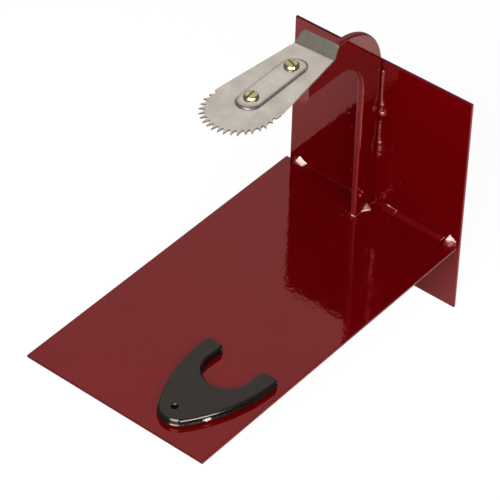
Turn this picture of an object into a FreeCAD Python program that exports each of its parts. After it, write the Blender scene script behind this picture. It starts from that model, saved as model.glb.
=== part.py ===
"""Fixed-blade coconut scraper: a welded steel stand that hooks over a worktop's edge, with a toothed
blade held out on a hook-shaped arm and a loose moulded blade guard.

Millimetres, +Z up, -Y towards the user. The origin is where the base plate's underside meets the
back plate's front face, at mid-width: the corner that sits on the worktop's edge.
"""

import FreeCAD, Part
import math
import os

V = FreeCAD.Vector

# Sheet steel of the stand
BASE_WIDTH = 150.0
BASE_LENGTH = 270.0
BACK_WIDTH = 148.4
BACK_ABOVE = 126.5      # top edge above the base plate's underside
BACK_BELOW = 53.5       # part that hangs in front of the worktop's edge
BACK_SHIFT = 2.3        # the back plate is welded on a little to the right
SHEET = 2.0

# Hook arm, cut from thicker plate and standing on edge
ARM_THICK = 5.0
ARM_LEG = 20.5          # depth of the upright leg
ARM_UNDERSIDE = 141.0
ARM_TOP = 168.0
ARM_REACH = 84.3        # from the back plate to the arm's end
ARM_INNER_R = 26.8
ARM_OUTER_R = 46.5

# Blade: its own frame has +X across, +Y towards the stand, +Z up, at the top of the flat sheet
BLADE_AT = V(-0.9, -100.0, 172.9)
BLADE_PITCH = 1.5       # degrees, nose down
BLADE_ROLL = 3.0        # degrees, right side up, as the holder is welded on
BLADE_THICK = 1.2
HEAD_CENTRE = -47.3     # centre of the toothed head along the blade
HEAD_TURN = 1.4         # degrees: the row of teeth is punched slightly turned
TIP_R = 25.5
ROOT_R = 20.3
ROOT_RISE = 2.4         # how much shallower the gullets are at the sides
TEETH = 20
TOOTH_PITCH = 10.2      # degrees, straight ahead
PITCH_GROWTH = 0.011    # makes the teeth stand wider apart towards the sides
PAIR_SHIFT = 0.6        # degrees: teeth were cut in slightly close pairs
TOOTH_SET = 0.3         # alternate tips bent up and down
SIDE_SLOPE = 0.132      # taper of each straight side
BEND_AT = 27.9          # where the flange turns up
BEND_HALF_WIDTH = 16.2
FLANGE_ANGLE = 43.0
FLANGE_LENGTH = 9.7
FLANGE_HALF_WIDTH = 14.3
FLANGE_CORNER_R = 2.5
BEND_R = 1.5

# Pressed rib that stiffens the blade and sits over the holder
RIB_HEIGHT = 2.4
RIB_FOOT_R = 9.2
RIB_TOP_R = 7.3
RIB_FRONT = -36.8
RIB_REAR = 7.3
SCREWS_AT = (-35.1, 5.3)    # front and rear screw along the blade

# Holder: flat bar bent to an L, one leg under the rib and one down the arm's end
BAR_WIDTH = 12.0
BAR_THICK = 5.0
HOLDER_FOOT = 145.2     # lower end of the upright leg
HOLDER_BEND_R = 1.2     # inside of the bend, clear of the rear nut

# M5 screws and nuts
SCREW_R = 2.5
SCREW_LENGTH = 12.0
HEAD_R = 5.0
HEAD_HEIGHT = 2.8
HEAD_CROWN = 1.1        # depth of the rounded shoulder
SLOT_WIDTH = 1.3
SLOT_DEPTH = 1.4
SLOT_TURNS = (95.0, -18.0)  # how the front and rear slots happen to point, degrees from across
HOLE_R = 2.7
NUT_FLATS = 8.0
NUT_HEIGHT = 4.0

# Weld beads
SEAM_BEAD = 4.0
TACK_BEAD = 5.5
ARM_BEAD = 2.4
FOOT_BEAD = 3.2
NOSE_BEAD = 2.2

# Blade guard
GUARD_AT = V(37.1, -199.4, SHEET)
GUARD_TURN = -2.9       # degrees
GUARD_THICK = 6.0
GUARD_HALF_WIDTH = 30.7
GUARD_SHOULDER = 9.5    # widest point, measured from the notch's centre towards the arms
GUARD_ARMS = 14.7       # ends of the arms
GUARD_NOSE = -60.0
GUARD_FLANK_R = 114.0
GUARD_NOTCH_R = 17.2
GUARD_ARM_CORNER_R = 3.0
GUARD_EDGE_R = 1.2
GROOVE_R = 26.2         # takes the toothed head with a little play
GROOVE_HEIGHT = 2.2
HANG_HOLE_AT = (-1.6, -48.5)
HANG_HOLE_R = 2.2


def block(x0, x1, y0, y1, z0, z1):
    return Part.makeBox(x1 - x0, y1 - y0, z1 - z0, V(x0, y0, z0))


def polygon(points):
    return Part.makePolygon(points + [points[0]])


def arc(start, middle, end):
    return Part.Arc(start, middle, end).toShape()


def line(start, end):
    return Part.LineSegment(start, end).toShape()


def prism(edges, direction):
    return Part.Face(Part.Wire(edges)).extrude(direction)


# ---- welded stand ----

def make_base_plate():
    return block(-BASE_WIDTH / 2, BASE_WIDTH / 2, -BASE_LENGTH, 0, 0, SHEET)


def make_back_plate():
    left = BACK_SHIFT - BACK_WIDTH / 2
    return block(left, left + BACK_WIDTH, 0, SHEET, -BACK_BELOW, BACK_ABOVE)


def make_hook_arm():
    """Upright leg that curves forward over the base plate and ends in a square nose."""
    def at(y, z):
        return V(-ARM_THICK / 2, y, z)

    s = math.sqrt(0.5)
    outer = at(-ARM_OUTER_R, ARM_TOP - ARM_OUTER_R)
    inner = at(-ARM_LEG - ARM_INNER_R, ARM_UNDERSIDE - ARM_INNER_R)
    outer_start = at(0, outer.z)
    outer_end = at(outer.y, ARM_TOP)
    inner_start = at(inner.y, ARM_UNDERSIDE)
    inner_end = at(-ARM_LEG, inner.z)
    edges = [
        line(at(0, SHEET), outer_start),
        arc(outer_start, at(outer.y + s * ARM_OUTER_R, outer.z + s * ARM_OUTER_R), outer_end),
        line(outer_end, at(-ARM_REACH, ARM_TOP)),
        line(at(-ARM_REACH, ARM_TOP), at(-ARM_REACH, ARM_UNDERSIDE)),
        line(at(-ARM_REACH, ARM_UNDERSIDE), inner_start),
        arc(inner_start, at(inner.y + s * ARM_INNER_R, inner.z + s * ARM_INNER_R), inner_end),
        line(inner_end, at(-ARM_LEG, SHEET)),
        line(at(-ARM_LEG, SHEET), at(0, SHEET)),
    ]
    return prism(edges, V(ARM_THICK, 0, 0))


# ---- blade, in its own frame ----

def place_on_arm(shape):
    """Turns and moves a shape from the blade's frame to the stand."""
    shape.rotate(V(0, 0, 0), V(1, 0, 0), BLADE_PITCH)
    shape.rotate(V(0, 0, 0), V(0, 1, 0), -BLADE_ROLL)
    shape.translate(BLADE_AT)
    return shape


def head_point(radius, angle, z):
    a = math.radians(angle)
    return V(radius * math.cos(a), HEAD_CENTRE + radius * math.sin(a), z)


def tooth_angle(k):
    """Direction of tooth k from the head's centre. 270 degrees is straight ahead."""
    shift = PAIR_SHIFT if k % 2 == 0 else -PAIR_SHIFT
    step = k - (TEETH - 1) / 2
    return 270 + HEAD_TURN + step * TOOTH_PITCH + step ** 3 * PITCH_GROWTH + shift


def gullet_angle(k):
    """Direction of the gullet between tooth k and the next. On each side the teeth lean forward, so
    the gullet lies close to the tooth behind it on the left and to the one after it on the right."""
    a, b = tooth_angle(k), tooth_angle(k + 1)
    share = 0.05 + 0.9 * min(max((a - 235) / 80, 0), 1)
    return a + share * (b - a)


def tooth(root_a, tip, root_b, lift):
    """Triangular tooth whose tip is bent up or down by lift."""
    down = V(0, 0, -BLADE_THICK)
    top = [root_a, tip + V(0, 0, lift), root_b]
    low = [p + down for p in top]
    sides = [polygon([top[i], top[(i + 1) % 3], low[(i + 1) % 3], low[i]]) for i in range(3)]
    faces = [Part.Face(w) for w in [polygon(top), polygon(low)] + sides]
    return Part.Solid(Part.Shell(faces))


def stadium(radius, z):
    """Closed outline of the rib at one height."""
    def at(x, y):
        return V(x, y, z)
    return Part.Wire([
        line(at(radius, RIB_FRONT), at(radius, RIB_REAR)),
        arc(at(radius, RIB_REAR), at(0, RIB_REAR + radius), at(-radius, RIB_REAR)),
        line(at(-radius, RIB_REAR), at(-radius, RIB_FRONT)),
        arc(at(-radius, RIB_FRONT), at(0, RIB_FRONT - radius), at(radius, RIB_FRONT)),
    ])


def rib_body(foot_r, top_r, z):
    return Part.makeLoft([stadium(foot_r, z), stadium(top_r, z + RIB_HEIGHT)], True, True)


def make_blade_sheet():
    """Flat sheet with the straight tapering sides, the root of the teeth and the bent-up flange."""
    first = head_point(TIP_R, tooth_angle(0), 0)
    side_y = first.y + 5
    side_x = BEND_HALF_WIDTH + (BEND_AT - side_y) * SIDE_SLOPE
    gullets = []
    for k in range(TEETH - 1):
        angle = gullet_angle(k)
        gullets.append(head_point(ROOT_R + ROOT_RISE * ((angle - 270) / 90) ** 2, angle, 0))
    roots = [V(-side_x, side_y, 0)] + gullets + [V(side_x, side_y, 0)]

    flange_y = BEND_AT + FLANGE_LENGTH * math.cos(math.radians(FLANGE_ANGLE)) + 2
    corner = FLANGE_HALF_WIDTH
    outline = roots + [
        V(BEND_HALF_WIDTH, BEND_AT, 0), V(corner, flange_y, 0),
        V(-corner, flange_y, 0), V(-BEND_HALF_WIDTH, BEND_AT, 0),
    ]
    plan = Part.Face(polygon(outline))
    plan.translate(V(0, 0, -10))
    plan = plan.extrude(V(0, 0, 30))
    blank = flange_profile().common(plan)
    blank = round_flange_corners(blank)

    teeth = []
    for k in range(TEETH):
        tip = head_point(TIP_R, tooth_angle(k), 0)
        lift = TOOTH_SET if k % 2 == 0 else -TOOTH_SET
        teeth.append(tooth(roots[k], tip, roots[k + 1], lift))
    return blank.multiFuse(teeth)


def flange_profile():
    """Sheet seen from the side, flat and then turned up at the rear, drawn out across the blade."""
    half = 40.0
    front = HEAD_CENTRE - TIP_R - 1

    def bend(radius, angle):
        a = math.radians(angle)
        return V(-half, BEND_AT + radius * math.sin(a), BEND_R - radius * math.cos(a))

    a = math.radians(FLANGE_ANGLE)
    along = V(0, math.cos(a), math.sin(a)) * FLANGE_LENGTH
    outer_r = BEND_R + BLADE_THICK
    top_end = bend(BEND_R, FLANGE_ANGLE)
    low_end = bend(outer_r, FLANGE_ANGLE)
    edges = [
        line(V(-half, front, 0), bend(BEND_R, 0)),
        arc(bend(BEND_R, 0), bend(BEND_R, FLANGE_ANGLE / 2), top_end),
        line(top_end, top_end + along),
        line(top_end + along, low_end + along),
        line(low_end + along, low_end),
        arc(low_end, bend(outer_r, FLANGE_ANGLE / 2), bend(outer_r, 0)),
        line(bend(outer_r, 0), V(-half, front, -BLADE_THICK)),
        line(V(-half, front, -BLADE_THICK), V(-half, front, 0)),
    ]
    return prism(edges, V(2 * half, 0, 0))


def round_flange_corners(blank):
    """Rounds the two short edges at the flange's outer corners."""
    def is_corner(edge):
        box = edge.BoundBox
        return edge.Length < 2 * BLADE_THICK and box.YMin > BEND_AT + 5
    return blank.makeFillet(FLANGE_CORNER_R, [e for e in blank.Edges if is_corner(e)])


def make_blade():
    sheet = make_blade_sheet()
    # The rib's wall is as thick as the sheet, so its inside is one thickness lower and narrower.
    wall = 0.9 * BLADE_THICK
    outside = rib_body(RIB_FOOT_R, RIB_TOP_R, 0)
    crown = [e for e in outside.Edges if e.BoundBox.ZMin > RIB_HEIGHT - 0.01]
    outside = outside.makeFillet(1.0, crown)
    inside = rib_body(RIB_FOOT_R - wall, RIB_TOP_R - wall, -BLADE_THICK)
    blade = sheet.fuse(outside).cut(inside)
    for y in SCREWS_AT:
        blade = blade.cut(Part.makeCylinder(HOLE_R, 10, V(0, y, -2)))
    return place_on_arm(blade.removeSplitter())


# ---- holder, screws and nuts, in the blade's frame ----

def make_holder(blade):
    """L of flat bar. The top leg lies in the rib's hollow, the other runs down the arm's end face."""
    half = BAR_WIDTH / 2
    pitch = math.radians(BLADE_PITCH)
    roof = RIB_HEIGHT - BLADE_THICK
    outer_r = HOLDER_BEND_R + BAR_THICK
    back = -ARM_REACH

    def bar_top(y):
        """Height of the bar's top face in the untilted frame."""
        rise = (y - BLADE_AT.y) * math.tan(pitch)
        return V(-half, y, BLADE_AT.z + rise + roof / math.cos(pitch))

    nose_y = BLADE_AT.y + RIB_FRONT - half
    bend_y = back - outer_r
    centre = bar_top(bend_y) + V(0, 0, -outer_r)
    up = V(0, -math.sin(pitch), math.cos(pitch))

    def bend(radius, angle):
        a = math.radians(angle)
        return centre + V(0, radius * math.cos(a), radius * math.sin(a))

    top_angle = 90 + BLADE_PITCH
    mid_angle = top_angle / 2
    edges = [
        line(bar_top(nose_y), bend(outer_r, top_angle)),
        arc(bend(outer_r, top_angle), bend(outer_r, mid_angle), bend(outer_r, 0)),
        line(bend(outer_r, 0), V(-half, back, HOLDER_FOOT)),
        line(V(-half, back, HOLDER_FOOT), V(-half, back - BAR_THICK, HOLDER_FOOT)),
        line(V(-half, back - BAR_THICK, HOLDER_FOOT), bend(HOLDER_BEND_R, 0)),
        arc(bend(HOLDER_BEND_R, 0), bend(HOLDER_BEND_R, mid_angle), bend(HOLDER_BEND_R, top_angle)),
        line(bend(HOLDER_BEND_R, top_angle), bar_top(nose_y) - up * BAR_THICK),
        line(bar_top(nose_y) - up * BAR_THICK, bar_top(nose_y)),
    ]
    bar = prism(edges, V(BAR_WIDTH, 0, 0))
    bar = round_bar_nose(bar, nose_y)
    bar.translate(V(0, 0, -BLADE_AT.z))
    bar.rotate(V(0, 0, 0), V(0, 1, 0), -BLADE_ROLL)
    bar.translate(V(BLADE_AT.x, 0, BLADE_AT.z))
    for y in SCREWS_AT:
        bar = bar.cut(screw_axis_cylinder(HOLE_R, y))
    # The corners of the bend are ground away where they would meet the rib's round rear end.
    return bar.cut(blade)


def round_bar_nose(bar, nose_y):
    """Cuts the bar's front end to a half round, so that it fits the rib's round end."""
    half = BAR_WIDTH / 2
    z = ARM_TOP - 10

    def at(x, y):
        return V(x, y, z)
    edges = [
        line(at(half, 0), at(half, nose_y + half)),
        arc(at(half, nose_y + half), at(0, nose_y), at(-half, nose_y + half)),
        line(at(-half, nose_y + half), at(-half, 0)),
        line(at(-half, 0), at(half, 0)),
    ]
    keep = prism(edges, V(0, 0, 30))
    leg = block(-half, half, -ARM_REACH - BAR_THICK - 4, 0, HOLDER_FOOT - 1, z + 1)
    return bar.common(keep.fuse(leg))


def screw_axis_cylinder(radius, y):
    return place_on_arm(Part.makeCylinder(radius, 40, V(0, y, -20)))


def make_screw(y, turn):
    """Slotted pan head screw, its head on the rib and its shank through holder and nut."""
    seat = RIB_HEIGHT
    head = Part.makeCylinder(HEAD_R, HEAD_HEIGHT, V(0, y, seat))
    crown = [e for e in head.Edges if e.BoundBox.ZMin > seat + HEAD_HEIGHT - 0.01]
    head = head.makeFillet(HEAD_CROWN, crown)
    slot = block(-HEAD_R - 1, HEAD_R + 1, y - SLOT_WIDTH / 2, y + SLOT_WIDTH / 2,
                 seat + HEAD_HEIGHT - SLOT_DEPTH, seat + HEAD_HEIGHT + 1)
    slot.rotate(V(0, y, 0), V(0, 0, 1), turn)
    shank = Part.makeCylinder(SCREW_R, SCREW_LENGTH, V(0, y, seat - SCREW_LENGTH))
    tip = [e for e in shank.Edges if e.BoundBox.ZMax < seat - SCREW_LENGTH + 0.01]
    shank = shank.makeChamfer(0.5, tip)
    return place_on_arm(head.cut(slot).fuse(shank))


def make_nut(y):
    """Hexagon nut against the underside of the holder, its corners bevelled."""
    top = RIB_HEIGHT - BLADE_THICK - BAR_THICK
    corner_r = NUT_FLATS / math.sqrt(3)
    points = []
    for k in range(6):
        a = math.radians(60 * k)
        points.append(V(corner_r * math.cos(a), y + corner_r * math.sin(a), top - NUT_HEIGHT))
    hexagon = Part.Face(polygon(points)).extrude(V(0, 0, NUT_HEIGHT))
    bevel = 0.5
    cone_r = NUT_FLATS / 2 + 0.1
    envelope = Part.makeCone(cone_r, cone_r + 2 * NUT_HEIGHT, NUT_HEIGHT, V(0, y, top - NUT_HEIGHT))
    body = hexagon.common(envelope)
    bore = Part.makeCylinder(SCREW_R, NUT_HEIGHT + 2 * bevel, V(0, y, top - NUT_HEIGHT - bevel))
    return place_on_arm(body.cut(bore))


# ---- weld beads ----

def fillet_bead(start, end, radius, corner):
    """Rounded run of weld in the inside corner from start to end. corner points into the open
    quarter between the two plates, with one step along each plate."""
    along = end.sub(start)
    run = Part.makeCylinder(radius, along.Length, start, along)
    run = run.multiFuse([Part.makeSphere(radius, start), Part.makeSphere(radius, end)])
    reach = 2 * radius + along.Length
    low = V(min(start.x, end.x), min(start.y, end.y), min(start.z, end.z))
    high = V(max(start.x, end.x), max(start.y, end.y), max(start.z, end.z))
    lo, hi = [], []
    for axis in range(3):
        lo.append(low[axis] if corner[axis] > 0 else low[axis] - reach)
        hi.append(high[axis] if corner[axis] < 0 else high[axis] + reach)
    quarter = block(lo[0], hi[0], lo[1], hi[1], lo[2], hi[2])
    return run.common(quarter)


def make_welds():
    side = ARM_THICK / 2
    front_right = V(0, -1, 1)
    welds = {
        "weld_seam_left": fillet_bead(V(-15, 0, SHEET), V(-10, 0, SHEET), SEAM_BEAD, front_right),
        "weld_seam_right": fillet_bead(V(10, 0, SHEET), V(20, 0, SHEET), SEAM_BEAD, front_right),
        "weld_tack_left": fillet_bead(V(-63, 0, SHEET), V(-61, 0, SHEET), TACK_BEAD, front_right),
        "weld_tack_right": fillet_bead(V(67, 0, SHEET), V(69, 0, SHEET), TACK_BEAD, front_right),
    }
    for name, x, outward in (("right", side, 1), ("left", -side, -1)):
        upright = V(outward, -1, 0)
        foot = V(outward, 0, 1)
        welds["weld_upright_" + name] = fillet_bead(
            V(x, 0, 44), V(x, 0, 118), ARM_BEAD, upright)
        welds["weld_foot_" + name] = fillet_bead(
            V(x, -16, SHEET), V(x, -9, SHEET), FOOT_BEAD, foot)
    welds["weld_foot_front"] = fillet_bead(
        V(-2, -ARM_LEG, SHEET), V(1, -ARM_LEG, SHEET), NOSE_BEAD, front_right)
    return welds


def make_holder_welds():
    """Beads down both sides of the arm's end, in the corner behind the holder's leg."""
    side = ARM_THICK / 2
    welds = {}
    for name, x, outward in (("right", side, 1), ("left", -side, -1)):
        welds["weld_holder_" + name] = fillet_bead(
            V(x, -ARM_REACH, 149.5), V(x, -ARM_REACH, 162), ARM_BEAD, V(outward, 1, 0))
    return welds


# ---- blade guard ----

def guard_outline():
    """Outline with two long flanks that meet in a round nose, and a round notch between two arms.
    Drawn about the notch's centre, with the arms towards +Y."""
    flank_x = GUARD_HALF_WIDTH - GUARD_FLANK_R
    # The nose circle touches both flank arcs from inside and ends at GUARD_NOSE.
    rise = GUARD_SHOULDER - GUARD_NOSE
    nose_r = (GUARD_FLANK_R ** 2 - flank_x ** 2 - rise ** 2) / (2 * (GUARD_FLANK_R - rise))
    nose_y = GUARD_NOSE + nose_r
    toward = V(-flank_x, nose_y - GUARD_SHOULDER, 0)
    toward.normalize()
    touch = V(0, nose_y, 0) + toward * nose_r

    def flank(side, share):
        total = math.atan2(touch.y - GUARD_SHOULDER, touch.x - flank_x)
        a = share * total
        x = flank_x + GUARD_FLANK_R * math.cos(a)
        return V(side * x, GUARD_SHOULDER + GUARD_FLANK_R * math.sin(a), 0)

    def mirror(p):
        return V(-p.x, p.y, 0)

    arms, notch, half = GUARD_ARMS, GUARD_NOTCH_R, GUARD_HALF_WIDTH
    return [
        line(V(notch, 0, 0), V(notch, arms, 0)),
        line(V(notch, arms, 0), V(half, arms, 0)),
        line(V(half, arms, 0), V(half, GUARD_SHOULDER, 0)),
        arc(V(half, GUARD_SHOULDER, 0), flank(1, 0.5), touch),
        arc(touch, V(0, GUARD_NOSE, 0), mirror(touch)),
        arc(mirror(touch), flank(-1, 0.5), V(-half, GUARD_SHOULDER, 0)),
        line(V(-half, GUARD_SHOULDER, 0), V(-half, arms, 0)),
        line(V(-half, arms, 0), V(-notch, arms, 0)),
        line(V(-notch, arms, 0), V(-notch, 0, 0)),
        arc(V(-notch, 0, 0), V(0, -notch, 0), V(notch, 0, 0)),
    ]


def make_guard():
    body = prism(guard_outline(), V(0, 0, GUARD_THICK))
    corners = [e for e in body.Edges if e.BoundBox.XLength + e.BoundBox.YLength < 0.01
               and e.BoundBox.YMin > GUARD_ARMS - 0.1]
    body = body.makeFillet(GUARD_ARM_CORNER_R, corners)
    rims = [e for e in body.Edges if e.BoundBox.ZLength < 0.01]
    body = body.makeFillet(GUARD_EDGE_R, rims)
    low = (GUARD_THICK - GROOVE_HEIGHT) / 2
    round_end = Part.makeCylinder(GROOVE_R, GROOVE_HEIGHT, V(0, 0, low))
    straight = block(-GROOVE_R, GROOVE_R, 0, GUARD_ARMS + 1, low, low + GROOVE_HEIGHT)
    body = body.cut(round_end.fuse(straight))
    body = body.cut(Part.makeCylinder(HANG_HOLE_R, GUARD_THICK + 2, V(*HANG_HOLE_AT, -1)))
    body.rotate(V(0, 0, 0), V(0, 0, 1), GUARD_TURN)
    body.translate(GUARD_AT)
    return body


def make_parts():
    blade = make_blade()
    parts = {
        "base_plate": make_base_plate(),
        "back_plate": make_back_plate(),
        "hook_arm": make_hook_arm(),
        "blade_holder": make_holder(blade),
        "grater_blade": blade,
        "blade_guard": make_guard(),
    }
    for name, y, turn in zip(("front", "rear"), SCREWS_AT, SLOT_TURNS):
        parts["blade_screw_" + name] = make_screw(y, turn)
        parts["blade_nut_" + name] = make_nut(y)
    parts.update(make_welds())
    parts.update(make_holder_welds())
    return parts


def main():
    os.makedirs("parts", exist_ok=True)
    for name, shape in make_parts().items():
        solids = shape.Solids
        box = shape.BoundBox
        print(f"{name}: {len(solids)} solid, valid {shape.isValid()}, volume {shape.Volume:.1f}, "
              f"x {box.XMin:.1f}..{box.XMax:.1f} y {box.YMin:.1f}..{box.YMax:.1f} "
              f"z {box.ZMin:.1f}..{box.ZMax:.1f}")
        if len(solids) != 1:
            raise ValueError(f"{name} is {len(solids)} solids")
        solids[0].exportStep(f"parts/{name}.step")


main()
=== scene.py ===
# %% [markdown]
# # A fixed-blade coconut scraper
#
# A welded steel stand hooks over the edge of a worktop. A toothed blade sits on the end of its
# curved arm, held by two slotted screws, and a loose plastic guard lies on the base plate.
# This lesson models each of those pieces in Blender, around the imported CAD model. The CAD nodes
# give every place and size. Blender adds rounded edges, uneven weld beads, a screw thread and the
# finishes.

import math
import random

import bmesh
import bpy
from mathutils import Matrix, Vector
from mathutils import noise as noise_vector


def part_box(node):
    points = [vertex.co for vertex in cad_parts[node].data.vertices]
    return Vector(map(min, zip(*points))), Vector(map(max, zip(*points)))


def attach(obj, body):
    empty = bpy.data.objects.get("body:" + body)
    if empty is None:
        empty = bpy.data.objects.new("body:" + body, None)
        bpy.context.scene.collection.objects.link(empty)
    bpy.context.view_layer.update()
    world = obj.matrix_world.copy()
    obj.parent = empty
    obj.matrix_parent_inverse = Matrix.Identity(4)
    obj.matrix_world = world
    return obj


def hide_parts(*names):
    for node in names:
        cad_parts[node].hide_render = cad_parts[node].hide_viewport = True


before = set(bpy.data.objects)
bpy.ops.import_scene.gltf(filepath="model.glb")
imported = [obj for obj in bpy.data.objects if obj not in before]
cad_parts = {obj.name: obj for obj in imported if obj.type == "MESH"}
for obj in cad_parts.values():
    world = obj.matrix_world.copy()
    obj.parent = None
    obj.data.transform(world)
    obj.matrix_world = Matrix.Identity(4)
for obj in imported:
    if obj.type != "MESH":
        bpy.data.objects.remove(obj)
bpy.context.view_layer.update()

MM = 0.001

# %% [markdown]
# ## Working in millimetres
#
# Metal is drawn in millimetres, so every piece is modelled with one Blender unit for one
# millimetre and shrunk to metres when it is finished. The other way, typing 0.0012 for a sheet,
# invites slips. A piece's place goes into its mesh, and its object stays at the origin, as the CAD
# nodes' do.

# %% Selecting


def deselect():
    bpy.ops.object.select_all(action="DESELECT")


def only(obj):
    """Makes obj the one selected and active object."""
    deselect()
    obj.select_set(True)
    bpy.context.view_layer.objects.active = obj


def bake_place():
    """Puts the active object's place, turn and size into its mesh."""
    bpy.ops.object.transform_apply(location=True, rotation=True, scale=True)


def edit(obj, everything=False):
    only(obj)
    bpy.ops.object.mode_set(mode="EDIT")
    bpy.ops.mesh.select_mode(type="VERT")
    bpy.ops.mesh.select_all(action="SELECT" if everything else "DESELECT")


def leave_edit():
    bpy.ops.object.mode_set(mode="OBJECT")


def pick(obj, kind, test):
    """In edit mode, selects only the vertices or edges that pass the test."""
    bpy.ops.mesh.select_mode(type=kind)
    bpy.ops.mesh.select_all(action="DESELECT")
    shape = bmesh.from_edit_mesh(obj.data)
    for item in shape.verts if kind == "VERT" else shape.edges:
        if test(item):
            item.select_set(True)
    shape.select_flush_mode()
    bmesh.update_edit_mesh(obj.data)


def middle(edge):
    return (edge.verts[0].co + edge.verts[1].co) / 2


def spans(edge, axis):
    """How far the edge runs along an axis."""
    return abs(edge.verts[0].co[axis] - edge.verts[1].co[axis])


# %% Cutting, joining and smoothing


def slice_all(point, normal, **settings):
    """In edit mode, cuts the whole mesh along a plane."""
    bpy.ops.mesh.select_all(action="SELECT")
    bpy.ops.mesh.bisect(plane_co=point, plane_no=normal, **settings)


def apply_modifier(obj, kind, **settings):
    only(obj)
    modifier = obj.modifiers.new(kind.title(), kind)
    for key, value in settings.items():
        setattr(modifier, key, value)
    bpy.ops.object.modifier_apply(modifier=modifier.name)


def combine(obj, tool, operation):
    """Cuts obj with the tool, or keeps what they share, and throws the tool away."""
    apply_modifier(obj, "BOOLEAN", object=tool, operation=operation, solver="EXACT")
    bpy.data.objects.remove(tool)


def drill(obj, radius, place):
    """Makes a round hole straight down through the place."""
    deselect()
    bpy.ops.mesh.primitive_cylinder_add(vertices=32, radius=radius, depth=10, location=place)
    combine(obj, bpy.context.object, "DIFFERENCE")


def smooth(obj, angle):
    """Shades obj smooth across edges blunter than the angle, and keeps its flat faces flat."""
    only(obj)
    bpy.ops.object.shade_smooth_by_angle(angle=math.radians(angle))
    apply_modifier(obj, "WEIGHTED_NORMAL", keep_sharp=True, weight=100)


def join(parts):
    deselect()
    for part in parts:
        part.select_set(True)
    bpy.context.view_layer.objects.active = parts[0]
    bpy.ops.object.join()
    return parts[0]


# %% Finishing a piece


def second_finish(obj, material, test):
    """Gives the faces that pass the test another finish."""
    obj.data.materials.append(material)
    last = len(obj.data.materials) - 1
    for face in obj.data.polygons:
        if test(face):
            face.material_index = last


def settle(obj, name, material, body, place=None, instead_of=()):
    """Finishes a piece: shrinks it to metres in its place, names it and hands it to its body."""
    obj.data.transform(Matrix.Scale(MM, 4) @ (place or Matrix.Identity(4)))
    obj.name = name
    obj.data.name = name
    obj.data.materials.clear()
    obj.data.materials.append(material)
    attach(obj, body)
    faces = len(obj.data.polygons)
    if not instead_of:
        print(f"{name}: {faces} faces")
        return
    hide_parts(*instead_of)
    low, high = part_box(instead_of[0])
    points = [v.co for v in obj.data.vertices]
    drift = max(
        max(abs(min(p[k] for p in points) - low[k]), abs(max(p[k] for p in points) - high[k]))
        for k in range(3)
    )
    print(f"{name}: {faces} faces, box within {drift / MM:.2f} mm of {instead_of[0]}")


# %% [markdown]
# ## Camera
#
# The camera looks down over the front right corner from about two metres, through a long lens, so
# the sheet's edges stay nearly parallel. It is aimed with angles, not by eye, which makes it easy
# to turn the same camera to another side.

# %% Camera
AZIMUTH, ELEVATION, ROLL = (math.radians(a) for a in (38.4228, 41.5117, 1.5913))
DISTANCE = 1928.1 * MM
AIM = Vector((-16.892, -111.995, 21.211)) * MM

back = Vector(
    (
        math.sin(AZIMUTH) * math.cos(ELEVATION),
        -math.cos(AZIMUTH) * math.cos(ELEVATION),
        math.sin(ELEVATION),
    )
)
level_right = Vector((math.cos(AZIMUTH), math.sin(AZIMUTH), 0))
level_up = back.cross(level_right)
right = math.cos(ROLL) * level_right + math.sin(ROLL) * level_up
up = -math.sin(ROLL) * level_right + math.cos(ROLL) * level_up

camera_data = bpy.data.cameras.new("camera")
camera_data.sensor_width = 36.0
camera_data.lens = 206.951
camera_data.clip_start = 0.05
camera_data.clip_end = 50.0
camera = bpy.data.objects.new("camera", camera_data)
bpy.context.scene.collection.objects.link(camera)
camera.matrix_world = Matrix.Translation(AIM + back * DISTANCE) @ Matrix(
    (right, up, back)
).transposed().to_4x4()
bpy.context.scene.camera = camera
print("camera at", [round(c, 3) for c in camera.matrix_world.translation])

# %% [markdown]
# ## Finishes
#
# Each finish is a small node tree that reads Object coordinates, so its grain is real size and
# stays on the metal. An image texture could hold the same colours, but it would need a map for
# every piece and would blur close up. Values that are the same all over a surface are set on the
# shader itself.

# %% Grain for finishes


def start_finish(name, roughness, metallic=0.0, specular=0.5):
    material = bpy.data.materials.new(name)
    material.use_nodes = True
    tree = material.node_tree
    shader = tree.nodes["Principled BSDF"]
    shader.inputs["Roughness"].default_value = roughness
    shader.inputs["Metallic"].default_value = metallic
    shader.inputs["Specular IOR Level"].default_value = specular
    place = tree.nodes.new("ShaderNodeTexCoord").outputs["Object"]
    return material, tree, shader, place


def stretched(tree, place, scale):
    """The same coordinates, stretched, for a grain with a direction."""
    node = tree.nodes.new("ShaderNodeMapping")
    node.inputs["Scale"].default_value = scale
    tree.links.new(place, node.inputs["Vector"])
    return node.outputs["Vector"]


def noise(tree, place, size_mm, detail=2.0, roughness=0.5):
    """Cloudy noise whose lumps are about size_mm across."""
    node = tree.nodes.new("ShaderNodeTexNoise")
    node.inputs["Scale"].default_value = 1.0 / (size_mm * MM)
    node.inputs["Detail"].default_value = detail
    node.inputs["Roughness"].default_value = roughness
    tree.links.new(place, node.inputs["Vector"])
    return node.outputs["Fac"]


# %% From grain to a finish


def ramp(tree, value, stops):
    """Turns a value into a colour through (position, colour) stops."""
    node = tree.nodes.new("ShaderNodeValToRGB")
    elements = node.color_ramp.elements
    while len(elements) < len(stops):
        elements.new(0.5)
    for element, (position, colour) in zip(elements, stops):
        element.position = position
        element.color = (*colour, 1.0)
    tree.links.new(value, node.inputs["Fac"])
    return node.outputs["Color"]


def spread(tree, value, low, high):
    """Maps a noise value to the range from low to high."""
    node = tree.nodes.new("ShaderNodeMapRange")
    node.inputs["From Min"].default_value = 0.3
    node.inputs["From Max"].default_value = 0.7
    node.inputs["To Min"].default_value = low
    node.inputs["To Max"].default_value = high
    tree.links.new(value, node.inputs["Value"])
    return node.outputs["Result"]


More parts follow.
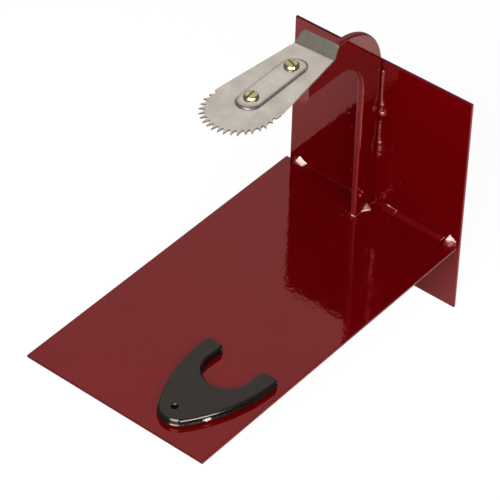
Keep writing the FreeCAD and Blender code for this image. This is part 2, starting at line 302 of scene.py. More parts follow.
def bump(tree, height, depth_mm, under=None):
    node = tree.nodes.new("ShaderNodeBump")
    node.inputs["Strength"].default_value = 1.0
    node.inputs["Distance"].default_value = depth_mm * MM
    tree.links.new(height, node.inputs["Height"])
    if under is not None:
        tree.links.new(under, node.inputs["Normal"])
    return node.outputs["Normal"]


# %% [markdown]
# ### Baked enamel
#
# The stand is sprayed with a glossy maroon enamel. Sprayed enamel is never flat: it dries with a
# fine orange peel, which makes the edges of reflections ragged. That peel is two layers of bump,
# one a few millimetres across and one finer, under a nearly mirror-like gloss. The arm has a
# thicker coat and the beads have a duller one. A pale, rough copy on weld facets that face the key
# lamp is a painted highlight. Flame cut and sheared edges take enamel badly, so theirs is
# rough and uneven; the arm's flame cut edges also have a lighter red, which is painted light.

# %% Enamel


def make_enamel(name, sheen, smoothest, roughest, gloss=1.6):
    material, tree, shader, place = start_finish(name, smoothest, specular=1.0)
    shader.inputs["IOR"].default_value = gloss
    shader.inputs["Specular Tint"].default_value = (*sheen, 1.0)
    link = tree.links.new
    colour = ramp(
        tree,
        noise(tree, place, 45.0, 3.0),
        [(0.3, (0.062, 0.0001, 0.0008)), (0.7, (0.070, 0.0002, 0.0010))],
    )
    link(colour, shader.inputs["Base Color"])
    cloudy = spread(tree, noise(tree, place, 6.0, 3.0), smoothest, roughest)
    link(cloudy, shader.inputs["Roughness"])
    waves = bump(tree, noise(tree, place, 9.0, 1.0), 0.05)
    peel = bump(tree, noise(tree, place, 2.6, 2.0), 0.035, under=waves)
    link(peel, shader.inputs["Normal"])
    return material


enamel = make_enamel("maroon_enamel", (1.0, 0.19, 0.18), 0.035, 0.06)
arm_enamel = make_enamel("arm_enamel", (1.0, 0.38, 0.30), 0.035, 0.06, gloss=1.75)
bead_enamel = make_enamel("bead_enamel", (1.0, 0.52, 0.50), 0.10, 0.16)
# Pale, rough copy laid on weld facets that face the key lamp: a painted highlight.
pale_highlight_enamel = make_enamel("pale_highlight_enamel", (1.0, 0.80, 0.74), 0.30, 0.36)


def make_cut_edge_enamel(name, light, dark, roughness, specular):
    """Enamel over a flame cut or sheared edge: rough and uneven, between a light and a dark red.
    """
    material, tree, shader, place = start_finish(name, roughness, specular=specular)
    shader.inputs["Specular Tint"].default_value = (1.0, 0.2, 0.2, 1.0)
    link = tree.links.new
    colour = ramp(tree, noise(tree, place, 1.6, 3.0), [(0.35, dark), (0.65, light)])
    link(colour, shader.inputs["Base Color"])
    link(bump(tree, noise(tree, place, 0.9, 3.0), 0.05), shader.inputs["Normal"])
    return material


# Lighter red than the enamel on the arm's cut edges: painted light. Their roughness is their own.
flame_cut_lit_enamel = make_cut_edge_enamel(
    "flame_cut_lit_enamel", (0.115, 0.008, 0.010), (0.08, 0.003, 0.005), 0.36, 0.8
)
sheared_enamel = make_cut_edge_enamel(
    "sheared_enamel", (0.070, 0.002, 0.005), (0.040, 0.001, 0.003), 0.5, 0.2
)

# %% [markdown]
# ### Blade steel
#
# The blade is stainless sheet with a rolled satin surface: a soft, slightly warm grey without
# clear reflections. A faint grain runs along the blade, and handling leaves cloudy patches. The
# punched edges are rougher, and darker as painted shade in the gullets, so they have a finish of
# their own, streaked from top to bottom. The turned-up flange has a third: duller, and a darker
# grey-green that is painted shade for the dark surroundings it reflects.

# %% Blade steel


def make_blade_steel():
    material, tree, shader, place = start_finish("satin_steel", 0.38, metallic=1.0)
    link = tree.links.new
    clouds = noise(tree, place, 13.0, 4.0, 0.6)
    colour = ramp(tree, clouds, [(0.3, (0.56, 0.495, 0.43)), (0.7, (0.73, 0.66, 0.592))])
    link(colour, shader.inputs["Base Color"])
    link(spread(tree, noise(tree, place, 5.0, 3.0), 0.20, 0.30), shader.inputs["Roughness"])
    grain = noise(tree, stretched(tree, place, (1.0, 0.06, 1.0)), 0.6, 3.0)
    dents = bump(tree, noise(tree, place, 12.0, 1.0), 0.14)
    link(bump(tree, grain, 0.003, under=dents), shader.inputs["Normal"])
    return material


# Punched edges: rough and streaked, with a dark colour that is partly painted shade in the
# gullets.
def make_cut_shade():
    material, tree, shader, place = start_finish("punched_edge_shade", 0.5, metallic=1.0)
    link = tree.links.new
    streaks = noise(tree, stretched(tree, place, (1.0, 1.0, 0.3)), 0.4, 3.0)
    colour = ramp(tree, streaks, [(0.3, (0.10, 0.085, 0.07)), (0.7, (0.24, 0.21, 0.18))])
    link(colour, shader.inputs["Base Color"])
    link(bump(tree, streaks, 0.02), shader.inputs["Normal"])
    return material


def make_flange_shade():
    """The flange: duller, with a darker grey-green that is painted shade for what it reflects."""
    material, tree, shader, place = start_finish("flange_painted_shade", 0.5, metallic=1.0)
    link = tree.links.new
    clouds = noise(tree, place, 3.0, 5.0, 0.7)
    colour = ramp(tree, clouds, [(0.35, (0.18, 0.17, 0.135)), (0.65, (0.33, 0.30, 0.25))])
    link(colour, shader.inputs["Base Color"])
    link(spread(tree, clouds, 0.5, 0.38), shader.inputs["Roughness"])
    return material


blade_steel, cut_shade, flange_shade = make_blade_steel(), make_cut_shade(), make_flange_shade()

# %% [markdown]
# ### Yellow zinc
#
# The screws and nuts are zinc plated and passivated yellow, which gives a brassy metal with olive
# patches. A noise chooses between the two tints.

# %% Yellow zinc


def make_zinc():
    material, tree, shader, place = start_finish("yellow_zinc", 0.28, metallic=1.0)
    link = tree.links.new
    tint = ramp(
        tree,
        noise(tree, place, 2.6, 2.0),
        [(0.35, (0.44, 0.40, 0.19)), (0.55, (0.60, 0.50, 0.28)), (0.7, (0.74, 0.60, 0.42))],
    )
    link(tint, shader.inputs["Base Color"])
    link(spread(tree, noise(tree, place, 1.0, 2.0), 0.24, 0.34), shader.inputs["Roughness"])
    return material


zinc = make_zinc()

# %% [markdown]
# ### Guard plastic
#
# The guard is moulded in black plastic with a fine spark-eroded texture, so it shines softly along
# its rounded rims and is dull charcoal on its flats.

# %% Guard plastic


def make_guard_plastic():
    material, tree, shader, place = start_finish("black_plastic", 0.16, specular=0.42)
    shader.inputs["Specular Tint"].default_value = (0.96, 0.85, 0.78, 1.0)
    link = tree.links.new
    colour = ramp(
        tree,
        noise(tree, place, 8.0, 3.0),
        [(0.3, (0.0040, 0.0034, 0.0028)), (0.7, (0.0060, 0.0050, 0.0042))],
    )
    link(colour, shader.inputs["Base Color"])
    link(spread(tree, noise(tree, place, 3.0, 2.0), 0.13, 0.20), shader.inputs["Roughness"])
    link(bump(tree, noise(tree, place, 0.5, 2.0), 0.004), shader.inputs["Normal"])
    return material


guard_plastic = make_guard_plastic()

# %% [markdown]
# ## Plates
#
# The base plate and the back plate are two millimetre sheet, sheared to size. Each is a cube
# stretched between its corners. Shearing and enamel leave a small radius on every edge, which is
# what catches the light along a real plate, so all edges are bevelled. On the base plate the
# enamel has drawn back from the right edge and left a fine furrow two millimetres inside it.

# %% A sheared plate
TOP = 2.0  # the base plate's upper face
EDGE_R = 0.45


def sheared_plate(low, high):
    low, high = Vector(low), Vector(high)
    deselect()
    bpy.ops.mesh.primitive_cube_add(size=1.0, location=(low + high) / 2, scale=high - low)
    obj = bpy.context.object
    bake_place()
    edit(obj, everything=True)
    bpy.ops.mesh.bevel(offset=EDGE_R, segments=3, affect="EDGES")
    leave_edit()
    smooth(obj, 35)
    return obj


# %% Base plate and back plate
base_plate = sheared_plate((-75, -270, 0), (75, 0, TOP))
FURROW_X, FURROW_HALF, FURROW_DEPTH = 73.0, 0.4, 0.32
edit(base_plate)
for x in (FURROW_X - FURROW_HALF, FURROW_X, FURROW_X + FURROW_HALF):
    slice_all((x, 0, 0), (1, 0, 0))
shape = bmesh.from_edit_mesh(base_plate.data)
for vertex in shape.verts:
    if abs(vertex.co.x - FURROW_X) < 1e-3 and vertex.co.z > TOP - 0.1:
        vertex.co.z -= FURROW_DEPTH
bmesh.update_edit_mesh(base_plate.data)
leave_edit()
smooth(base_plate, 35)
settle(base_plate, "base_sheet", enamel, "stand", instead_of=["base_plate"])
second_finish(base_plate, sheared_enamel, lambda f: f.normal.x < -0.6 or f.normal.y < -0.6)

back_plate = sheared_plate((-71.9, 0, -53.5), (76.5, 2, 126.5))
settle(back_plate, "back_sheet", enamel, "stand", instead_of=["back_plate"])
second_finish(back_plate, sheared_enamel, lambda f: abs(f.normal.z) > 0.35 or f.normal.x < -0.6)

# %% [markdown]
# ## Pieces cut to an outline
#
# The arm, the holder, the blade and the guard are all flat outlines first. A filled ring of points
# is added, and its points are pulled onto the outline; then the face is extruded to its thickness.
# Curves and text could trace an outline too, but a ring keeps full control of where points sit.

# %% Outline helpers


def arc_points(centre, radius, start, end, steps):
    """Points along an arc in degrees, both ends included."""
    points = []
    for k in range(steps + 1):
        a = math.radians(start + (end - start) * k / steps)
        points.append((centre[0] + radius * math.cos(a), centre[1] + radius * math.sin(a)))
    return points


def ring_of(points, fill="NGON"):
    """A ring with its points pulled onto the given places, in order."""
    deselect()
    bpy.ops.mesh.primitive_circle_add(vertices=len(points), radius=50.0, fill_type=fill)
    obj = bpy.context.object
    for vertex, point in zip(obj.data.vertices, points):
        vertex.co = point
    return obj


def cut_from_plate(points, direction):
    """Extrudes a filled outline by the given vector."""
    obj = ring_of(points)
    edit(obj, everything=True)
    bpy.ops.mesh.extrude_region_move(TRANSFORM_OT_translate={"value": direction})
    bpy.ops.mesh.select_all(action="SELECT")
    bpy.ops.mesh.normals_make_consistent(inside=False)
    leave_edit()
    return obj


def round_edges(obj, test, radius, segments, profile=0.5):
    edit(obj)
    pick(obj, "EDGE", test)
    bpy.ops.mesh.bevel(offset=radius, segments=segments, profile=profile, affect="EDGES")
    leave_edit()


# %% [markdown]
# ## Hook arm
#
# The arm is five millimetre plate, flame cut and standing on edge. It rises from the base plate
# against the back plate and curves forward. Its cut edges are rounded by grinding, so the light
# runs down the front of the leg as one bright line on each side.

# %% Hook arm
ARM_HALF = 2.5
ARM_TOP, ARM_UNDERSIDE, ARM_REACH, ARM_LEG = 168.0, 141.0, 84.3, 20.5
OUTER_R, INNER_R = 46.5, 26.8

arm_outline = (
    [(0.0, TOP)]
    + arc_points((-OUTER_R, ARM_TOP - OUTER_R), OUTER_R, 0, 90, 28)
    + [(-ARM_REACH, ARM_TOP), (-ARM_REACH, ARM_UNDERSIDE)]
    + arc_points((-ARM_LEG - INNER_R, ARM_UNDERSIDE - INNER_R), INNER_R, 90, 0, 22)
    + [(-ARM_LEG, TOP)]
)
hook_arm = cut_from_plate([(-ARM_HALF, y, z) for y, z in arm_outline], (2 * ARM_HALF, 0, 0))


def on_arm_rim(edge):
    """The rims of both broad sides, and the two crosswise edges of the arm's end."""
    return spans(edge, 0) < 1.0 or abs(middle(edge).y + ARM_REACH) < 0.1


round_edges(hook_arm, on_arm_rim, 1.7, 5)
smooth(hook_arm, 32)
settle(hook_arm, "arm_plate", arm_enamel, "stand", instead_of=["hook_arm"])
# The arm's cut edges get the lighter red, which is painted light.
second_finish(hook_arm, flame_cut_lit_enamel, lambda f: abs(f.normal.x) < 0.8)

# %% [markdown]
# ## Blade frame
#
# The blade, its holder, the screws and the nuts lean together: one and a half degrees nose down
# and three degrees to one side, because the holder was welded on a little turned. They are
# modelled square, with X across, Y towards the stand and Z up from the sheet's top face, and
# turned at the end.

# %% Blade frame
BLADE_X, BLADE_Y, BLADE_Z = -0.9, -100.0, 172.9
ROLL_DEGREES, PITCH_DEGREES = -3.0, 1.5
BLADE_ROLL = Matrix.Rotation(math.radians(ROLL_DEGREES), 4, "Y")
BLADE_PLACE = (
    Matrix.Translation((BLADE_X, BLADE_Y, BLADE_Z))
    @ BLADE_ROLL
    @ Matrix.Rotation(math.radians(PITCH_DEGREES), 4, "X")
)
SHEET, RIB_HEIGHT = 1.2, 2.4
HEAD_Y = -47.3
RIB_FRONT, RIB_REAR = -36.8, 7.3
SCREWS = {"front": (-35.1, 95.0), "rear": (5.3, -18.0)}  # place along Y, and the slot's turn
SHANK_R, HOLE_R = 2.5, 2.7

# %% [markdown]
# ## Toothed blade
#
# The blade is stamped from 1.2 mm sheet. Its round head has twenty saw teeth, each with one steep
# side and one long hollow side, and alternate tips are set up and down. A long rib is pressed into
# the sheet so that it doesn't bend, and the rear end is folded up as a flange.
#
# The outline is a ring of points. The rib starts as a round button of concentric rings, and then
# its rear half is pulled back, which gives a long rib with the same section all round. The flat
# between outline and rib is filled, the flange is spun about its bend, and a Solidify modifier
# gives the sheet its thickness, so the rib is hollow underneath as a pressed rib is.

# %% Teeth
TEETH = 20
TIP_R, ROOT_R, ROOT_RISE = 25.5, 20.3, 2.4
HEAD_ANGLE, TOOTH_STEP, STEP_GROWTH = 271.4, 10.2, 0.011
PAIR_SHIFT, TOOTH_SET, GULLET_SAG = 0.6, 0.3, 0.75
BEND_Y, BEND_HALF, SIDE_TAPER = 27.9, 16.2, 0.132


def alternate(k, value):
    return value if k % 2 == 0 else -value


def tooth_angle(k):
    """The direction of tooth k in degrees. Teeth stand in pairs, wider apart to the sides."""
    step = k - (TEETH - 1) / 2
    return HEAD_ANGLE + step * TOOTH_STEP + step**3 * STEP_GROWTH + alternate(k, PAIR_SHIFT)


def gullet_share(k):
    """Where the gullet lies between tooth k and the next: 0.05 on the left, 0.95 on the right."""
    return 0.05 + 0.9 * min(max((tooth_angle(k) - 235) / 80, 0), 1)


def on_head(radius, angle, z=0.0):
    a = math.radians(angle)
    return Vector((radius * math.cos(a), HEAD_Y + radius * math.sin(a), z))


def hollow(a, b):
    """Points between a and b that sag towards the head's middle, as a punched gullet does."""
    inward = (Vector((0, HEAD_Y, 0)) - (a + b) / 2).normalized()
    return [a.lerp(b, t) + inward * GULLET_SAG * 4 * t * (1 - t) for t in (0.25, 0.5, 0.75)]


# %% Blade outline
tips = [on_head(TIP_R, tooth_angle(k), alternate(k, TOOTH_SET)) for k in range(TEETH)]
roots = []
for k in range(TEETH - 1):
    a, b = tooth_angle(k), tooth_angle(k + 1)
    angle = a + gullet_share(k) * (b - a)
    roots.append(on_head(ROOT_R + ROOT_RISE * ((angle - 270) / 90) ** 2, angle))

side_y = on_head(TIP_R, tooth_angle(0)).y + 5
side_x = BEND_HALF + (BEND_Y - side_y) * SIDE_TAPER
blade_outline = [Vector((-side_x, side_y, 0)), tips[0]]
for k, root in enumerate(roots):
    if gullet_share(k) > 0.5:
        blade_outline += hollow(tips[k], root) + [root]
    else:
        blade_outline += [root] + hollow(root, tips[k + 1])
    blade_outline.append(tips[k + 1])
blade_outline += [
    Vector((side_x, side_y, 0)),
    Vector((BEND_HALF, BEND_Y, 0)),
    Vector((-BEND_HALF, BEND_Y, 0)),
]
blade = ring_of(blade_outline, fill="NOTHING")
print("blade outline:", len(blade_outline), "points")

# %% Pressed rib
RIB_POINTS, RIB_R = 64, 10.2
RIB_PROFILE = (
    *((9.8, 0.01), (9.6, 0.07), (9.3, 0.23), (8.95, 0.5), (8.5, 0.89), (7.95, 1.33)),
    *((7.3, 1.72), (6.5, 2.03), (5.6, 2.24), (4.6, 2.36), (3.4, RIB_HEIGHT)),
)
deselect()
bpy.ops.mesh.primitive_circle_add(
    vertices=RIB_POINTS,
    radius=RIB_R,
    location=(0, RIB_FRONT, 0),
    rotation=(0, 0, math.pi / RIB_POINTS),
    fill_type="NOTHING",
)
rib = bpy.context.object
bake_place()
edit(rib, everything=True)
radius, height = RIB_R, 0.0
for next_radius, next_height in RIB_PROFILE:
    bpy.ops.mesh.extrude_edges_move(
        TRANSFORM_OT_translate={"value": (0, 0, next_height - height)}
    )
    share = next_radius / radius
    bpy.ops.transform.resize(value=(share, share, 1), center_override=(0, RIB_FRONT, 0))
    radius, height = next_radius, next_height
bpy.ops.mesh.edge_face_add()
pick(rib, "VERT", lambda v: v.co.y > RIB_FRONT)
bpy.ops.transform.translate(value=(0, RIB_REAR - RIB_FRONT, 0))
leave_edit()

# %% Sheet, flange and thickness
BEND_R, FLANGE_ANGLE = 1.5, math.radians(43.0)
FLANGE_LENGTH, FLANGE_HALF, FLANGE_CORNER = 9.7, 14.3, 2.2
blade = join([blade, rib])
edit(blade)
pick(blade, "EDGE", lambda e: e.is_boundary or e.is_wire)
bpy.ops.mesh.fill(use_beauty=True)

pick(blade, "EDGE", lambda e: all(abs(v.co.y - BEND_Y) < 0.01 for v in e.verts))
bpy.ops.mesh.spin(steps=6, angle=-FLANGE_ANGLE, center=(0, BEND_Y, BEND_R), axis=(1, 0, 0))
along = Vector((0, math.cos(FLANGE_ANGLE), math.sin(FLANGE_ANGLE))) * FLANGE_LENGTH
bpy.ops.mesh.extrude_edges_move(TRANSFORM_OT_translate={"value": along})
narrow = FLANGE_HALF / BEND_HALF
bpy.ops.transform.resize(value=(narrow, 1, 1), center_override=(0, BEND_Y, 0))
bpy.ops.mesh.select_mode(type="VERT")
bpy.ops.mesh.bevel(offset=FLANGE_CORNER, segments=4, affect="VERTICES")
bpy.ops.mesh.select_all(action="SELECT")
bpy.ops.mesh.normals_make_consistent(inside=False)
leave_edit()
if sum(face.area * face.normal.z for face in blade.data.polygons) < 0:
    blade.data.flip_normals()
apply_modifier(blade, "SOLIDIFY", thickness=SHEET, offset=-1.0, use_even_offset=True)
for y, _ in SCREWS.values():
    drill(blade, HOLE_R, (0, y, 2))
smooth(blade, 30)
settle(blade, "toothed_blade", blade_steel, "stand", BLADE_PLACE, ["grater_blade"])
FLANGE_START = -73.5 * MM
SMALL_FACE = 10 * MM * MM
# Every small upright face, the gullet walls too, gets the dark edge steel, partly painted shade.
second_finish(blade, cut_shade, lambda f: abs(f.normal.z) < 0.3 and f.area < SMALL_FACE)
# The flange's upper face gets the darker finish, which is painted shade.
second_finish(blade, flange_shade, lambda f: f.normal.y < -0.2 and f.center.y > FLANGE_START)

# %% [markdown]
# ## Holder
#
# A short L of flat bar carries the blade. One leg lies in the rib's hollow and the other runs down
# the arm's end. Little of it shows, but its lower end can be seen below the blade's edge. It is
# one outline seen from the side, extruded across, with its front end rounded to fit inside the
# rib.

# %% Holder
BAR_HALF, BAR, BAR_BEND_R = 6.0, 5.0, 1.2
HOLDER_FOOT, HOLDER_NOSE_R = 145.2, 5.6
pitch = math.radians(PITCH_DEGREES)
arm_face = -ARM_REACH
bend_centre_y = arm_face - (BAR_BEND_R + BAR)


def bar_top(y):
    """The point at y on the bar's top face, which touches the inside of the rib."""
    return (
        y,
        BLADE_Z + (y - BLADE_Y) * math.tan(pitch) + (RIB_HEIGHT - SHEET) / math.cos(pitch),
    )


nose_y = BLADE_Y + RIB_FRONT - BAR_HALF
top_at_bend = bar_top(bend_centre_y)
bend_centre = (bend_centre_y, top_at_bend[1] - (BAR_BEND_R + BAR))
nose_top = bar_top(nose_y)
holder_outline = (
    [nose_top]
    + arc_points(bend_centre, BAR_BEND_R + BAR, 90 + PITCH_DEGREES, 0, 8)
    + [(arm_face, HOLDER_FOOT), (arm_face - BAR, HOLDER_FOOT)]
    + arc_points(bend_centre, BAR_BEND_R, 0, 90 + PITCH_DEGREES, 5)
    + [(nose_top[0] + BAR * math.sin(pitch), nose_top[1] - BAR * math.cos(pitch))]
)
holder = cut_from_plate([(-BAR_HALF, y, z) for y, z in holder_outline], (2 * BAR_HALF, 0, 0))
round_edges(holder, lambda e: spans(e, 0) < 0.1 and middle(e).y > nose_y + 7, 0.5, 2)


def at_nose_corner(edge):
    return spans(edge, 0) < 0.3 and spans(edge, 1) < 0.3 and middle(edge).y < nose_y + 1


round_edges(holder, at_nose_corner, HOLDER_NOSE_R, 8)
smooth(holder, 35)
lean = (
    Matrix.Translation((BLADE_X, 0, BLADE_Z)) @ BLADE_ROLL @ Matrix.Translation((0, 0, -BLADE_Z))
)
settle(holder, "holder_bar", enamel, "stand", lean, ["blade_holder"])

# %% [markdown]
# ## Screws and nuts
#
# Two M5 slotted pan head screws hold the blade, with hexagon nuts under the holder. A screw is
# turned work, so its half profile is spun about its axis. The thread is a stack of V rings: at
# this size a true helix looks the same. The slot is milled with a thin box, each at its own angle.
# A nut is a six-sided cylinder whose corners are turned off by what it shares with a cone.

# %% Turned work
HEAD_PROFILE = [
    *((0.0, 2.76), (2.2, 2.74), (3.3, 2.65), (4.0, 2.42), (4.55, 2.02), (4.95, 1.45)),
    *((5.15, 0.85), (5.2, 0.5), (5.05, 0.34), (4.4, 0.3), (4.3, 0.0), (SHANK_R, 0.0)),
]
SLOT_WIDTH = 1.3
THREAD_TOP, THREAD_END, THREAD_PITCH, THREAD_ROOT_R = -2.0, -12.0, 0.8, 2.08


def spin_profile(profile):
    """Turns a half profile of (radius, height) points about the upright axis."""
    deselect()
    bpy.ops.mesh.primitive_plane_add(size=1.0)
    obj = bpy.context.object
    edit(obj, everything=True)
    bpy.ops.mesh.merge(type="CENTER")
    at = Vector((profile[0][0], 0, profile[0][1]))
    bpy.ops.transform.translate(value=at)
    for r, z in profile[1:]:
        step = Vector((r, 0, z)) - at
        bpy.ops.mesh.extrude_vertices_move(TRANSFORM_OT_translate={"value": step})
        at += step
    bpy.ops.mesh.select_all(action="SELECT")
    bpy.ops.mesh.spin(steps=48, angle=2 * math.pi, center=(0, 0, 0), axis=(0, 0, 1))
    bpy.ops.mesh.select_all(action="SELECT")
    bpy.ops.mesh.remove_doubles(threshold=0.001)
    bpy.ops.mesh.normals_make_consistent(inside=False)
    leave_edit()
    return obj


def thread_profile():
    """V grooves down the shank, with a bevelled tip."""
    points = []
    z = THREAD_TOP
    while z - THREAD_PITCH > THREAD_END + 0.6:
        points += [(SHANK_R, z), (THREAD_ROOT_R, z - THREAD_PITCH / 2)]
        z -= THREAD_PITCH
    tip = [(SHANK_R, THREAD_END + 0.45), (2.0, THREAD_END), (0.0, THREAD_END)]
    return points + [(SHANK_R, z)] + tip


# %% Screws


def on_slot_rim(edge, turn):
    """The slot's two long upper edges."""
    at = middle(edge)
    from_slot = abs(at.x * math.sin(turn) - at.y * math.cos(turn))
    return edge.calc_length() > 1.5 and at.z > 2.0 and abs(from_slot - SLOT_WIDTH / 2) < 0.02


for name, (y, degrees) in SCREWS.items():
    turn = math.radians(degrees)
    screw = spin_profile(HEAD_PROFILE + thread_profile())
    deselect()
    bpy.ops.mesh.primitive_cube_add(
        size=1.0, location=(0, 0, 2.6), scale=(12, SLOT_WIDTH, 2.4), rotation=(0, 0, turn)
    )
    combine(screw, bpy.context.object, "DIFFERENCE")
    round_edges(screw, lambda edge: on_slot_rim(edge, turn), 0.12, 2)
    smooth(screw, 32)
    settle(
        screw,
        "pan_screw_" + name,
        zinc,
        "stand",
        BLADE_PLACE @ Matrix.Translation((0, y, RIB_HEIGHT)),
        ["blade_screw_" + name],
    )

# %% Nuts
NUT_TOP = RIB_HEIGHT - SHEET - BAR
NUT_FLATS, NUT_HEIGHT = 8.0, 4.0
NUT_CONE_R = NUT_FLATS / 2 + 0.1
for name, (y, _) in SCREWS.items():
    deselect()
    bpy.ops.mesh.primitive_cylinder_add(
        vertices=6,
        radius=NUT_FLATS / math.sqrt(3),
        depth=NUT_HEIGHT,
        location=(0, 0, -NUT_HEIGHT / 2),
        rotation=(0, 0, math.pi / 6),
    )
    nut = bpy.context.object
    bake_place()
    deselect()
    bpy.ops.mesh.primitive_cone_add(
        vertices=64,
        radius1=NUT_CONE_R,
        radius2=NUT_CONE_R + 2 * NUT_HEIGHT,
        depth=NUT_HEIGHT,
        location=(0, 0, -NUT_HEIGHT / 2),
    )
    combine(nut, bpy.context.object, "INTERSECT")
    drill(nut, SHANK_R, (0, 0, -NUT_HEIGHT / 2))
    smooth(nut, 25)
    settle(
        nut,
        "hex_nut_" + name,
        zinc,
        "stand",
        BLADE_PLACE @ Matrix.Translation((0, y, NUT_TOP)),
        ["blade_nut_" + name],
    )

# %% [markdown]
# ## Weld beads
#
# The stand is welded by hand, in short runs and tacks, and enamelled over. A bead is a row of
# overlapping drops, so each one starts as a row of spheres of uneven size. A voxel Remesh flows
# them into one skin, a Smooth modifier rounds the valleys, and two bisects cut away what would lie
# inside the plates. A swept tube would be quicker, but it would look like putty.

# %% Beads of drops
DROP_SPACING, DROP_SIZES, WANDER = 0.28, (0.86, 1.04), 0.3
dice = random.Random(20)


def finish_bead(bead, name, finish, node):
    smooth(bead, 60)
    settle(bead, name, finish, "stand", instead_of=[node])


def weld_bead(name, path, corner, node):
    """A bead through (x, y, z, radius) points, in the open quarter that corner points into."""
    drops = []
    for start, end in zip(path, path[1:]):
        a, b = Vector(start[:3]), Vector(end[:3])
        count = max(1, round((b - a).length / (DROP_SPACING * (start[3] + end[3]))))
        for k in range(count + (end is path[-1])):
            t = k / count
            radius = (start[3] * (1 - t) + end[3] * t) * dice.uniform(*DROP_SIZES)
            wander = Vector([0.0 if c else dice.uniform(-WANDER, WANDER) for c in corner])
            deselect()
            bpy.ops.mesh.primitive_ico_sphere_add(
                subdivisions=3, radius=radius, location=a.lerp(b, t) + wander
            )
            drops.append(bpy.context.object)
    bead = join(drops)
    bake_place()
    apply_modifier(bead, "REMESH", mode="VOXEL", voxel_size=min(p[3] for p in path) / 5)
    apply_modifier(bead, "SMOOTH", factor=0.5, iterations=4)
    edit(bead)
    corner_at = (corner[0] * ARM_HALF if corner[0] else path[0][0], path[0][1], path[0][2])
    for axis in range(3):
        if corner[axis]:
            normal = [corner[k] if k == axis else 0.0 for k in range(3)]
            slice_all(corner_at, normal, use_fill=True, clear_inner=True)
    leave_edit()
    finish_bead(bead, name, bead_enamel, node)


# %% [markdown]
# ### Faceted tacks with a painted highlight
#
# Where a tack stood too proud, the welder has ground it to flat facets. The facet turned towards
# the key lamp's reflection has a pale, rough finish: a painted highlight. Each tack is the hull of
# a few corners, softened by the same two modifiers and made uneven with noise. A face counts as
# the pale facet by the way it points.

# %% Tacks with a painted highlight


def hull(corners):
    """The tightest closed solid around the corners."""
    deselect()
    bpy.ops.mesh.primitive_plane_add(size=1.0, location=(0, 0, 0))
    solid = bpy.context.object
    edit(solid)
    bpy.ops.mesh.select_all(action="SELECT")
    bpy.ops.mesh.delete(type="VERT")
    shape = bmesh.from_edit_mesh(solid.data)
    for corner in corners:
        shape.verts.new(corner)
    bmesh.update_edit_mesh(solid.data)
    bpy.ops.mesh.select_all(action="SELECT")
    bpy.ops.mesh.convex_hull()
    leave_edit()
    return solid


FINE_VOXEL, VOXEL = 0.30, 0.35
LUMP_SCALE, LUMP_HEIGHT = 0.35, 0.12
# Halfway between camera and key lamp: faces turned this way get the painted highlight.
HIGHLIGHT_FACING = Vector((0.33, -0.70, 0.63)).normalized()


# Faces turned towards the key lamp's reflection, the ones given the painted highlight.
def turned_to_highlight(face, least):
    return face.normal.dot(HIGHLIGHT_FACING) > least


def on_highlight_streak(face):
    """The strip along the top of the right seam's bead, given a painted highlight."""
    x, _, z = face.center / MM
    return 13.0 < x < 24.5 and z > 6.1 and turned_to_highlight(face, 0.8)


def soft_hull(*groups, voxel=VOXEL):
    """Hulls around groups of corners, grown together, softened and made uneven."""
    solids = [hull(corners) for corners in groups]
    solid = join(solids) if len(solids) > 1 else solids[0]
    apply_modifier(solid, "REMESH", mode="VOXEL", voxel_size=voxel)
    apply_modifier(solid, "SMOOTH", factor=0.5, iterations=6)
    for vertex in solid.data.vertices:
        lump = noise_vector.noise(vertex.co * LUMP_SCALE)
        vertex.co += vertex.normal * lump * LUMP_HEIGHT
    return solid


def tack_with_painted_highlight(name, node, tack, pale):
    """Finishes a tack: faces that pass the test pale get a painted highlight, the rest enamel."""
    finish_bead(tack, name, pale_highlight_enamel, node)
    second_finish(tack, enamel, lambda face: not pale(face))


# %% Beads along the base plate
FRONT_CORNER = (0, -1, 1)
SEAM_LEFT = [(x, 0, TOP, radius) for x, radius in ((-17, 1.8), (-13, 3.2), (-9, 2.0))]
weld_bead("bead_seam_left", SEAM_LEFT, FRONT_CORNER, "weld_seam_left")

SEAM_RIGHT = (
    *((11.0, -0.1, 6.9), (23.0, -0.1, 6.7), (12.0, -0.7, 6.2), (23.0, -0.8, 6.0)),
    *((10.0, -0.1, 2.1), (12.0, -3.5, 2.1), (22.5, -3.6, 2.1), (25.0, -0.1, 2.1)),
)
SEAM_RIDGE = (
    *((14.0, -0.1, 8.0), (15.0, -1.5, 6.4), (24.0, -0.3, 6.1)),
    *((13.2, -0.1, 5.8), (15.0, -0.1, 4.8), (24.0, -0.1, 5.0)),
)
bead = soft_hull(SEAM_RIGHT, SEAM_RIDGE, voxel=FINE_VOXEL)
# The strip along this bead's top gets the pale finish as a painted highlight.
tack_with_painted_highlight("bead_seam_right", "weld_seam_right", bead, on_highlight_streak)

TACKS = {
    "left": (
        *((-63.4, -0.2, 8.9), (-64.7, -3.7, 5.4), (-56.0, -0.3, 4.8), (-68.0, -0.2, 5.0)),
        *((-68.6, -0.2, 2.1), (-66.0, -5.2, 2.1), (-59.0, -3.6, 2.1), (-55.0, -0.2, 2.1)),
    ),
    "right": (
        *((68.3, -0.2, 10.2), (66.9, -3.7, 6.8), (74.2, -0.3, 6.4), (64.8, -0.2, 5.5)),
        *((63.6, -0.2, 2.1), (65.6, -5.6, 2.1), (71.0, -4.4, 2.1), (74.8, -0.2, 2.1)),
    ),
}
# The pale facet on each tack is a painted highlight.
for side, corners in TACKS.items():
    tack_with_painted_highlight(
        "bead_tack_" + side,
        "weld_tack_" + side,
        soft_hull(corners),
        lambda face: turned_to_highlight(face, 0.93),
    )

